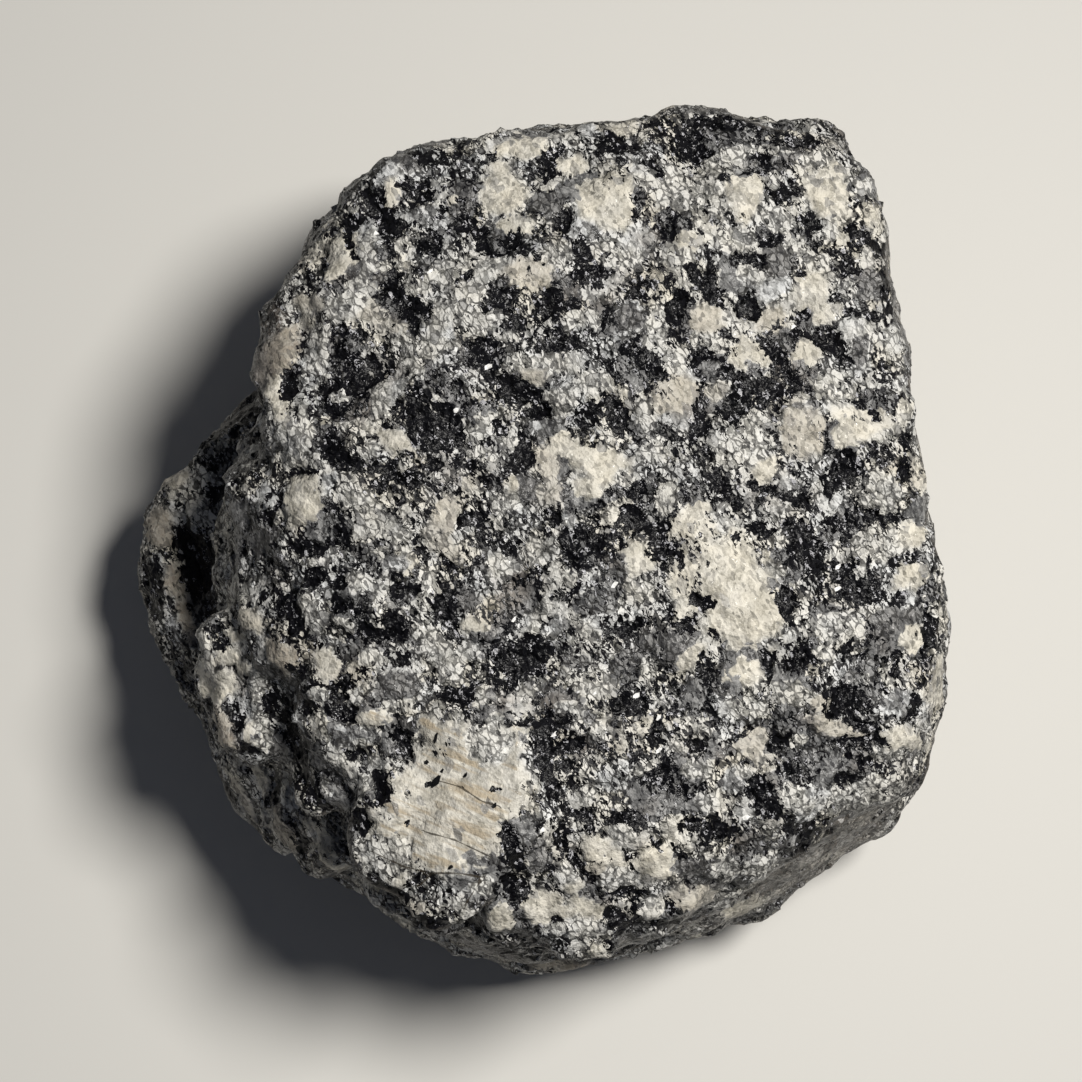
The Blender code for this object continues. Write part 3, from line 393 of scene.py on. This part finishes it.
def lattice_vectors(cells, seed):
    """Three such numbers for each cell."""
    return np.stack([lattice_random(cells, seed * 3 + axis) for axis in range(3)], axis=-1)


def soft_noise(points, across, seed):
    """Smooth noise from about -1 to 1, whose features are that far across."""
    scaled = points / across
    cell = np.floor(scaled)
    inside = scaled - cell
    fade = inside**3 * (inside * (inside * 6 - 15) + 10)
    total = np.zeros(len(points))
    for corner in itertools.product((0, 1), repeat=3):
        slope = lattice_vectors(cell + corner, seed) * 2 - 1
        weight = np.where(corner, fade, 1 - fade).prod(axis=1)
        total += ((inside - corner) * slope).sum(axis=1) * weight
    return total * 1.7


def rough_noise(points, across, seed, octaves=3):
    """The same with finer noise on top, each octave half as far across and half as strong."""
    layers = [soft_noise(points, across / 2**i, seed + i) / 2**i for i in range(octaves)]
    return np.sum(layers, axis=0) / 1.3


def grains(points, across, seed):
    """Each point's grain in a packing of irregular ones: its centre, three random numbers of its own,
    and how far the point is from the grain's border."""
    scaled = points / across
    home = np.floor(scaled)
    nearest = np.full(len(points), np.inf)
    second = nearest.copy()
    centre = np.zeros_like(points)
    for offset in itertools.product((-1, 0, 1), repeat=3):
        cell = home + offset
        middle = cell + lattice_vectors(cell, seed)
        distance = np.linalg.norm(scaled - middle, axis=1)
        second = np.minimum(second, np.maximum(distance, nearest))
        closer = distance < nearest
        nearest[closer] = distance[closer]
        centre[closer] = middle[closer]
    own = lattice_vectors(np.floor(centre * 64), seed + 50)
    return centre * across, own, (second - nearest) * across / 2


def facets(points, across, step, slope, seed):
    """The relief of a broken face: each grain ends in a flat of its own height and tilt."""
    centre, own, _ = grains(points, across, seed)
    tilt = lattice_vectors(np.floor(centre * 64), seed + 60) * 2 - 1
    return (own[:, 0] * 2 - 1) * step + ((points - centre) * tilt).sum(axis=1) * slope


def smooth_step(values, low, high):
    """0 below low, 1 above high, and a smooth rise between."""
    share = np.clip((values - low) / (high - low), 0, 1)
    return share * share * (3 - 2 * share)


def camera_axes():
    """Where the camera stands, in millimetres, and its right, up and backward directions."""
    rise = math.radians(CAMERA_ELEVATION)
    back = Vector((0, -math.cos(rise), math.sin(rise)))
    right = Vector((1, 0, 0))
    return Vector(CAMERA_TARGET) + back * CAMERA_DISTANCE, right, back.cross(right), back


def make_camera():
    place, _, _, back = camera_axes()
    camera = bpy.data.objects.new("camera", bpy.data.cameras.new("camera"))
    camera.data.sensor_width = SENSOR
    camera.data.lens = SENSOR * CAMERA_DISTANCE / FRAME_WIDTH
    camera.data.dof.use_dof = False
    camera.location = place * MM
    camera.rotation_euler = back.to_track_quat("Z", "Y").to_euler()
    bpy.context.scene.collection.objects.link(camera)
    bpy.context.scene.camera = camera


def make_lights():
    lamp = bpy.data.lights.new("key", "AREA")
    lamp.shape = "DISK"
    lamp.size = KEY_ACROSS * MM
    lamp.spread = math.radians(KEY_SPREAD)
    lamp.energy = KEY_POWER
    lamp.color = KEY_COLOUR
    key = bpy.data.objects.new("key", lamp)
    place = Vector(KEY_DIRECTION).normalized() * KEY_DISTANCE
    key.location = place * MM
    key.rotation_euler = (place - Vector(KEY_AIM)).to_track_quat("Z", "Y").to_euler()
    bpy.context.scene.collection.objects.link(key)
    room = bpy.data.worlds.new("room")
    room.use_nodes = True
    background = room.node_tree.nodes["Background"]
    background.inputs["Color"].default_value = ROOM_COLOUR
    background.inputs["Strength"].default_value = ROOM_STRENGTH
    bpy.context.scene.world = room


def make_floor():
    sheet = bmesh.new()
    place = Matrix.Translation((0, 0, -FLOOR_DROP * MM))
    bmesh.ops.create_grid(sheet, x_segments=1, y_segments=1, size=FLOOR_SIDE / 2 * MM, matrix=place)
    data = bpy.data.meshes.new("floor")
    sheet.to_mesh(data)
    sheet.free()
    floor = bpy.data.objects.new("floor", data)
    bpy.context.scene.collection.objects.link(floor)
    paint = bpy.data.materials.new("floor")
    paint.use_nodes = True
    shader = paint.node_tree.nodes["Principled BSDF"]
    shader.inputs["Base Color"].default_value = FLOOR_COLOUR
    shader.inputs["Roughness"].default_value = FLOOR_ROUGHNESS
    data.materials.append(paint)


def fine_skin(node):
    """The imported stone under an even, fine mesh, as an object of its own."""
    whole = bmesh.new()
    whole.from_mesh(node.data)
    bmesh.ops.remove_doubles(whole, verts=whole.verts[:], dist=1e-7)
    coarse = bpy.data.meshes.new("coarse")
    whole.to_mesh(coarse)
    whole.free()
    shaping = bpy.data.objects.new("shaping", coarse)
    bpy.context.scene.collection.objects.link(shaping)
    remesh = shaping.modifiers.new("skin", "REMESH")
    remesh.mode = "VOXEL"
    remesh.voxel_size = SKIN_VOXEL * MM
    smooth = shaping.modifiers.new("smooth", "SMOOTH")
    smooth.factor = 0.5
    smooth.iterations = SKIN_SMOOTHING
    evaluated = shaping.evaluated_get(bpy.context.evaluated_depsgraph_get())
    skin = bpy.data.meshes.new_from_object(evaluated)
    skin.name = "stone"
    skin.shade_smooth()
    bpy.data.objects.remove(shaping)
    bpy.data.meshes.remove(coarse)
    stone = bpy.data.objects.new("stone", skin)
    bpy.context.scene.collection.objects.link(stone)
    return stone


def read_vectors(elements, name):
    values = np.empty(len(elements) * 3)
    elements.foreach_get(name, values)
    return values.reshape(-1, 3)


def keep_field(mesh, name, values):
    field = mesh.attributes.new(name, "FLOAT", "POINT")
    field.data.foreach_set("value", values.astype(np.float32))


def on_view_plane(points):
    """Each point's place on the plane through the camera's target, as the camera sees it."""
    place, right, up, back = (np.array(axis) for axis in camera_axes())
    offset = points - place
    shrink = CAMERA_DISTANCE / -(offset @ back)
    return np.stack([offset @ right, offset @ up], axis=1) * shrink[:, None]


class Seen:
    """The stone as the camera sees it, on which crystals are placed."""

    def __init__(self, mesh, points, warped):
        self.tree = BVHTree.FromPolygons(
            [vertex.co / MM for vertex in mesh.vertices], [face.vertices[:] for face in mesh.polygons]
        )
        self.points = points
        self.warped = on_view_plane(warped)
        self.place, self.right, self.up, self.back = camera_axes()

    def look(self, across, along):
        """Where the camera sees the stone at a place in its picture, and how the stone faces there."""
        aimed = self.right * across + self.up * along - self.back * CAMERA_DISTANCE
        return self.tree.ray_cast(self.place, aimed.normalized())[:2]

    def spots(self, places):
        """Every point's nearness to the spots: 1 in the middle of one, a half on its edge."""
        shown = np.zeros(len(self.points))
        for across, along, half_size in places:
            hit, _ = self.look(across, along)
            if hit is not None:
                middle = self.points[np.linalg.norm(self.points - hit, axis=1).argmin()]
                away = np.linalg.norm(self.points - middle, axis=1)
                shown = np.maximum(shown, 1 - away / (2 * half_size))
        return shown

    def reach(self, crystal):
        """The points near a crystal, and how far out of it each one is: 0 at its centre, 1 on its edge."""
        across, along, half_length, half_width, bearing = crystal
        hit, normal = self.look(across, along)
        if hit is None:
            return np.empty(0, int), np.empty(0)
        offset = self.warped - (across, along)
        near = np.flatnonzero(np.abs(offset).max(axis=1) < 1.8 * half_length + 0.5)
        offset = offset[near]
        turn = math.radians(bearing)
        lengthwise = offset @ (math.cos(turn), math.sin(turn)) / half_length
        crosswise = offset @ (-math.sin(turn), math.cos(turn)) / half_width
        from_hit = self.points[near] - np.array(hit)
        sunk = from_hit @ np.array(normal) / (2.0 + half_length)
        deep = from_hit @ np.array(self.back) / (2.0 + 1.5 * half_length)
        return near, np.sqrt(lengthwise**2 + crosswise**2 + sunk**2 + deep**2)

    def nearest(self, crystals):
        """For each point, how far out of its nearest crystal it is, and which one that is."""
        out = np.full(len(self.points), 9.0)
        which = np.full(len(self.points), -1)
        for number, crystal in enumerate(crystals):
            near, reached = self.reach(crystal)
            closer = reached < out[near]
            out[near[closer]] = reached[closer]
            which[near[closer]] = number
        return out, which


def crack_fields(points, in_view):
    """How far to one side of its nearest crack each point is, and whether that crack is close."""
    seen = on_view_plane(points)
    side, nearest = np.full(len(points), 9.0), np.full(len(points), 9.0)
    for line in CRACKS:
        for start, end in zip(np.array(line), np.array(line[1:])):
            run = end - start
            offset = seen - start
            share = np.clip(offset @ run / (run @ run), 0, 1)
            away = np.linalg.norm(offset - share[:, None] * run, axis=1)
            turned = np.sign(run[0] * offset[:, 1] - run[1] * offset[:, 0])
            closer = away < nearest
            nearest[closer] = away[closer]
            side[closer] = (away * turned)[closer]
    return side, (1 - smooth_step(nearest, 0.35, 0.8)) * in_view


def mineral_fields(mesh, points, normals):
    """How much of each mineral's look every point has."""
    wobble = np.stack([rough_noise(points, 2.6, 10 + axis) for axis in range(3)], axis=1)
    warped = points + wobble * 0.55
    seen = Seen(mesh, points, warped)
    back = np.array(camera_axes()[3])
    in_view = smooth_step(normals @ back, 0.05, 0.3)

    # What lies between the placed crystals, and all over the sides that the camera doesn't see.
    _, own, border = grains(warped, LOOSE_CRYSTAL, 30)
    loose = smooth_step(border, 0.05, 0.4) * (own[:, 0] > 0.55)
    clots = rough_noise(warped, MICA_CLOT, 33)
    mica = in_view * (0.46 * clots + 0.01) + (1 - in_view) * (0.8 * clots + 0.04) - 0.3 * loose
    warmth = own[:, 1] * 1.6 - 0.7
    glassy = 1.0 * (own[:, 2] > 0.74)
    brown = 0.5 * smooth_step(rough_noise(points, BROWN_STAIN, 50), 0.1, 0.7)
    cleaved = 0.5 * loose

    # The placed crystals, with ragged outlines. Mica threads run round some of the pale ones.
    kinds = [kind for kind, crystals in PALE_CRYSTALS.items() for _ in crystals]
    looks = np.array([MINERALS[kind] for kind in kinds])
    pale, which = seen.nearest([crystal for crystals in PALE_CRYSTALS.values() for crystal in crystals])
    dark, _ = seen.nearest(DARK_CLOTS)
    pale += 0.34 * rough_noise(points, 1.3, 36, 2) + 0.22 * rough_noise(points, 3.0, 37, 2)
    dark += 0.38 * rough_noise(points, 1.3, 39, 2) + 0.16 * rough_noise(points, 3.0, 40, 2)
    is_pale = 1 - smooth_step(pale, 0.85, 1.35)
    is_dark = (1 - smooth_step(dark, 0.7, 1.25)) * smooth_step(pale - dark, -0.35, 0.15)
    rim = smooth_step(pale, 0.7, 1.1) * (1 - smooth_step(pale, 1.2, 1.6)) * smooth_step(own[:, 1], 0.3, 0.7)
    mica += 0.64 * is_dark - (0.26 + 0.22 * looks[which, 3]) * is_pale * (1 - is_dark) + 0.18 * rim
    placed = zip(looks[which].T, (warmth, brown, glassy, cleaved))
    warmth, brown, glassy, cleaved = (field + (look - field) * is_pale for look, field in placed)

    # The weathered skin, which is on the steep sides and on the placed patches.
    worn, _ = seen.nearest(WEATHERED)
    slope_centre, slope_half = np.array(FRESH_SLOPE)
    off_slope = np.linalg.norm((points - slope_centre) / slope_half, axis=1)
    upright = normals[:, 2] + 0.16 * rough_noise(points, 9.0, 20)
    steep = smooth_step(upright, 0.45, 0.15) * (1 - in_view) + smooth_step(upright, 0.26, 0.02) * in_view
    patina = steep * smooth_step(off_slope, 0.8, 1.1)
    patina = np.maximum(patina, 1 - smooth_step(worn, 0.7, 1.2))
    return {
        "mica": mica, "warmth": warmth, "brown": brown, "glassy": glassy, "cleaved": cleaved,
        "patina": patina, "raised": is_pale * cleaved, "in_view": in_view,
        # Painted glints count up towards 1 and the real black specks down towards -1.
        "painted_glint_and_speck": seen.spots(PAINTED_GLINTS) - seen.spots(SPECKS),
    }


def roughen(stone):
    """Keeps each mineral's field on the mesh, and raises and sinks the surface to suit."""
    mesh = stone.data
    points = read_vectors(mesh.vertices, "co") / MM
    normals = read_vectors(mesh.vertices, "normal")
    fields = mineral_fields(mesh, points, normals)

    wobble = np.stack([rough_noise(points, 3.0, 15 + axis) for axis in range(3)], axis=1)
    warped = points + wobble * 0.7
    in_mica = smooth_step(fields["mica"], 0.05, 0.4)
    smooth = 0.65 * fields["raised"]
    relief = facets(warped, *COARSE_FACETS, 60) * (1 - 0.5 * in_mica) * (1 - smooth)
    relief += facets(warped, *FINE_FACETS, 70) * (1 - smooth)
    relief += 0.10 * soft_noise(points, 0.9, 80) * (1 - smooth)
    relief += CRYSTAL_RISE * fields["raised"] - MICA_SINK * in_mica
    worn = 0.16 * rough_noise(points, 3.0, 90) + 0.4 * facets(warped, *WORN_FACETS, 100)
    depth = relief + (worn - relief) * 0.75 * fields["patina"]
    nudge = (lattice_vectors(np.floor(points * 40), 110) - 0.5) * SKIN_JITTER
    nudge -= normals * (nudge * normals).sum(axis=1)[:, None]
    moved = points + nudge + normals * depth[:, None]
    height = np.where(points[:, 2] < RESTING_DEPTH, points[:, 2], moved[:, 2])
    moved[:, 2] = np.maximum(height, 0)
    mesh.vertices.foreach_set("co", (moved * MM).ravel())
    mesh.update()

    del fields["raised"]
    fields["crack_side"], fields["crack_near"] = crack_fields(moved, fields.pop("in_view"))
    for name, values in fields.items():
        keep_field(mesh, name, values)


class Graph:
    """Short ways to add the nodes of one material."""

    def __init__(self, material):
        self.nodes = material.node_tree.nodes
        self.links = material.node_tree.links

    def add(self, kind, sockets, **settings):
        """A node with its settings, and its inputs joined to sockets or set to values."""
        node = self.nodes.new(kind)
        for name, value in settings.items():
            setattr(node, name, value)
        for key, value in sockets.items():
            if isinstance(value, bpy.types.NodeSocket):
                self.links.new(value, node.inputs[key])
            else:
                node.inputs[key].default_value = value
        return node

    def maths(self, operation, *values, clamp=False):
        node = self.add("ShaderNodeMath", dict(enumerate(values)), operation=operation, use_clamp=clamp)
        return node.outputs[0]

    def vectors(self, operation, *values):
        node = self.add("ShaderNodeVectorMath", dict(enumerate(values)), operation=operation)
        return node.outputs[0]

    def scaled(self, vector, by):
        node = self.add("ShaderNodeVectorMath", {0: vector, "Scale": by}, operation="SCALE")
        return node.outputs[0]

    def noise(self, vector, across, detail=2.0, roughness=0.5):
        sockets = {"Vector": vector, "Scale": 1 / across, "Detail": detail, "Roughness": roughness}
        return self.add("ShaderNodeTexNoise", sockets).outputs

    def stretched(self, vector, bearing, stretch):
        """A vector whose patterns are turned to a bearing and drawn out along it."""
        sockets = {0: vector, "Rotation": (0, 0, math.radians(bearing)), "Scale": stretch}
        return self.add("ShaderNodeMapping", sockets, vector_type="TEXTURE").outputs[0]

    def cells(self, vector, across, **settings):
        return self.add("ShaderNodeTexVoronoi", {"Vector": vector, "Scale": 1 / across}, **settings).outputs

    def field(self, name):
        return self.add("ShaderNodeAttribute", {}, attribute_name=name).outputs["Fac"]

    def rise(self, value, low, high):
        """0 where the value is below low, 1 above high."""
        sockets = {"Value": value, "From Min": low, "From Max": high}
        return self.add("ShaderNodeMapRange", sockets, interpolation_type="SMOOTHSTEP").outputs[0]

    def spread(self, value, low, high):
        """A value from 0 to 1 stretched to run from low to high."""
        sockets = {"Value": value, "To Min": low, "To Max": high}
        return self.add("ShaderNodeMapRange", sockets, clamp=False).outputs[0]

    def blend(self, share, first, second):
        """Two colours mixed."""
        node = self.add("ShaderNodeMix", {}, data_type="RGBA")
        for socket, value in zip((node.inputs[0], node.inputs[6], node.inputs[7]), (share, first, second)):
            if isinstance(value, bpy.types.NodeSocket):
                self.links.new(value, socket)
            else:
                socket.default_value = value
        return node.outputs[2]

    def weigh(self, share, first, second):
        """Two numbers mixed."""
        return self.add("ShaderNodeMix", {0: share, 2: first, 3: second}, data_type="FLOAT").outputs[0]


def feldspar_colour(graph, place, tone, cleaved):
    """Broken feldspar is sugary. Cleaved feldspar is clouded, and streaked in the layered crystals."""
    tint = graph.maths("MULTIPLY_ADD", graph.noise(place, 3.0)["Fac"], 1.6, -1.15)
    warm = graph.maths("ADD", graph.field("warmth"), tint)
    warm = graph.maths("MULTIPLY_ADD", warm, 0.5, 0.5, clamp=True)
    bright = graph.blend(warm, *FELDSPAR_BRIGHT)
    dull = graph.blend(warm, *FELDSPAR_DULL)
    sugary = graph.blend(graph.rise(tone, 0.08, 0.64), dull, bright)

    clouds = graph.noise(place, 2.2, 3.0, 0.6)["Fac"]
    clouded = graph.blend(graph.rise(clouds, 0.40, 0.60), graph.blend(0.30, dull, bright), bright)
    streaks = graph.noise(graph.stretched(place, CLEAVAGE_BEARING, CLEAVAGE_STRETCH), 1.0)["Fac"]
    streaked = graph.maths("MULTIPLY", graph.rise(streaks, 0.47, 0.66), graph.rise(cleaved, 0.80, 1.0))
    flat = graph.blend(streaked, graph.blend(0.40, clouded, sugary), FELDSPAR_STREAK)
    return graph.blend(cleaved, sugary, flat)


def crack_share(graph, place):
    """1 inside the thin cracks, which swell and pinch out."""
    off_crack = graph.maths("ABSOLUTE", graph.field("crack_side"))
    half_width = graph.maths("MULTIPLY_ADD", graph.noise(place, 1.1, 1.0)["Fac"], 0.30, -0.06)
    crack = graph.rise(graph.maths("SUBTRACT", half_width, off_crack), -0.03, 0.04)
    return graph.maths("MULTIPLY", crack, graph.rise(graph.field("crack_near"), 0.4, 0.6))


def stone_material():
    material = bpy.data.materials.new("granodiorite")
    material.use_nodes = True
    graph = Graph(material)
    shader = graph.nodes["Principled BSDF"]
    cleaved = graph.field("cleaved")

    # Two sizes of grain, each grain with three random numbers of its own.
    place = graph.scaled(graph.add("ShaderNodeTexCoord", {}).outputs["Object"], 1 / MM)
    wobble = graph.vectors("SUBTRACT", graph.noise(place, 0.8)["Color"], (0.5, 0.5, 0.5))
    ragged = graph.vectors("ADD", place, graph.scaled(wobble, 0.55))
    foliated = graph.stretched(ragged, FOLIATION_BEARING, FOLIATION_STRETCH)
    coarse_cells = graph.cells(foliated, COARSE_GRAIN)
    coarse = graph.add("ShaderNodeSeparateColor", {0: coarse_cells["Color"]}).outputs
    fine_cells = graph.cells(foliated, FINE_GRAIN)
    fine = graph.add("ShaderNodeSeparateColor", {0: fine_cells["Color"]}).outputs
    dust = graph.maths("SUBTRACT", graph.noise(place, 0.2, 1.0)["Fac"], 0.5)
    tone = graph.maths("MULTIPLY_ADD", coarse[2], 0.42, graph.maths("MULTIPLY", fine[1], 0.58))
    tone = graph.maths("MULTIPLY_ADD", dust, 0.6, tone)

    # Mica is in the grains that come out high, and in thin threads between the others.
    mica_level = graph.maths("MULTIPLY_ADD", coarse[0], 0.50, graph.field("mica"))
    mica_level = graph.maths("MULTIPLY_ADD", fine[0], 0.52, mica_level)
    wander = graph.noise(foliated, 1.0, 2.0, 0.6)["Fac"]
    thread = graph.rise(graph.maths("ABSOLUTE", graph.maths("SUBTRACT", wander, 0.5)), 0.036, 0.016)
    thread = graph.maths("MULTIPLY", thread, graph.spread(cleaved, 0.46, 0.10))
    is_mica = graph.rise(graph.maths("ADD", mica_level, thread), 0.66, 0.68)

    # Feldspar and glassy quartz, stained brown in places, with dark grains, and dark seams at the grain
    # edges, which are partly dark grain boundaries and partly painted shade in the crevices between grains.
    quartz_level = graph.maths("MULTIPLY_ADD", coarse[1], 0.7, graph.field("glassy"))
    is_quartz = graph.rise(quartz_level, 0.60, 0.75)
    feldspar = feldspar_colour(graph, place, tone, cleaved)
    colour = graph.blend(is_quartz, feldspar, graph.blend(tone, *QUARTZ))
    stain = graph.maths("MULTIPLY", graph.field("brown"), graph.spread(fine[1], 0.35, 0.85))
    colour = graph.blend(stain, colour, BROWN)
    to_seam = graph.cells(foliated, COARSE_GRAIN, feature="DISTANCE_TO_EDGE")["Distance"]
    seam_width = graph.maths("MULTIPLY_ADD", wander, 0.36, -0.10)
    seams_and_crevice_shade = graph.rise(graph.maths("SUBTRACT", seam_width, to_seam), -0.02, 0.03)
    seams_and_crevice_shade = graph.maths("MULTIPLY", seams_and_crevice_shade, graph.maths("SUBTRACT", 1.0, graph.rise(cleaved, 0.2, 0.7)))
    # The seams darken the colour as painted crevice shade, on top of the dark grain boundaries.
    colour = graph.blend(graph.maths("MULTIPLY", seams_and_crevice_shade, 0.88), colour, SEAM_AND_CREVICE_SHADE)
    dark_grains = graph.maths("MULTIPLY", graph.rise(fine[0], 0.80, 0.84), graph.spread(cleaved, 1.0, 0.25))
    colour = graph.blend(dark_grains, colour, DARK_GRAIN)

    # Black mica with painted glints, grey highlights on some of its flakes, then cracks, single specks,
    # painted glints of single flakes, and the weathered skin.
    # Painted highlight: grey glints on some of the mica grains.
    painted_glints = graph.rise(graph.maths("MULTIPLY_ADD", dust, 0.5, fine[2]), 0.94, 0.99)
    colour = graph.blend(is_mica, colour, graph.blend(painted_glints, graph.blend(fine[1], *MICA), MICA_PAINTED_GLINT))
    colour = graph.blend(graph.maths("MULTIPLY", crack_share(graph, place), 0.85), colour, CRACK)
    painted_glint_and_speck = graph.field("painted_glint_and_speck")
    colour = graph.blend(graph.rise(painted_glint_and_speck, -0.45, -0.55), colour, SPECK)
    # Painted highlight: white spots where a single flake would glint in the lamp.
    colour = graph.blend(graph.rise(painted_glint_and_speck, 0.45, 0.55), colour, PAINTED_GLINT)
    grime = graph.blend(graph.rise(tone, 0.25, 0.75), *GRIME)
    colour = graph.blend(graph.maths("MULTIPLY", graph.field("patina"), 0.6), colour, grime)
    graph.links.new(colour, shader.inputs["Base Color"])

    roughness = graph.weigh(is_mica, 0.62, 0.38)
    roughness = graph.weigh(is_quartz, roughness, 0.30)
    roughness = graph.weigh(graph.rise(fine[2], 0.90, 0.92), roughness, 0.18)
    graph.links.new(roughness, shader.inputs["Roughness"])
    shader.inputs["Specular IOR Level"].default_value = 0.2

    # Every grain's face leans its own way, less so on cleaved crystals, and has fine grit on it.
    fine_lean = graph.scaled(fine_cells["Color"], 0.55)
    tilt = graph.vectors("ADD", fine_lean, graph.scaled(coarse_cells["Color"], 0.45))
    tilt = graph.vectors("SUBTRACT", tilt, (0.5, 0.5, 0.5))
    lean = graph.spread(cleaved, 1.05, 0.25)
    normal = graph.add("ShaderNodeNewGeometry", {}).outputs["Normal"]
    leaning = graph.vectors("NORMALIZE", graph.vectors("ADD", normal, graph.scaled(tilt, lean)))
    grit = graph.noise(place, GRIT, 1.0)["Fac"]
    relief = {"Strength": 1.0, "Distance": GRIT_DEPTH * MM, "Height": grit, "Normal": leaning}
    bump = graph.add("ShaderNodeBump", relief)
    graph.links.new(bump.outputs[0], shader.inputs["Normal"])
    return material


def main():
    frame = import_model()
    bpy.context.scene.view_settings.view_transform = "Standard"
    make_camera()
    make_lights()
    make_floor()

    stone = fine_skin(frame["nodes"][STONE])
    roughen(stone)
    stone.data.materials.clear()
    stone.data.materials.append(stone_material())
    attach(stone, "root")
    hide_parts(STONE)


main()
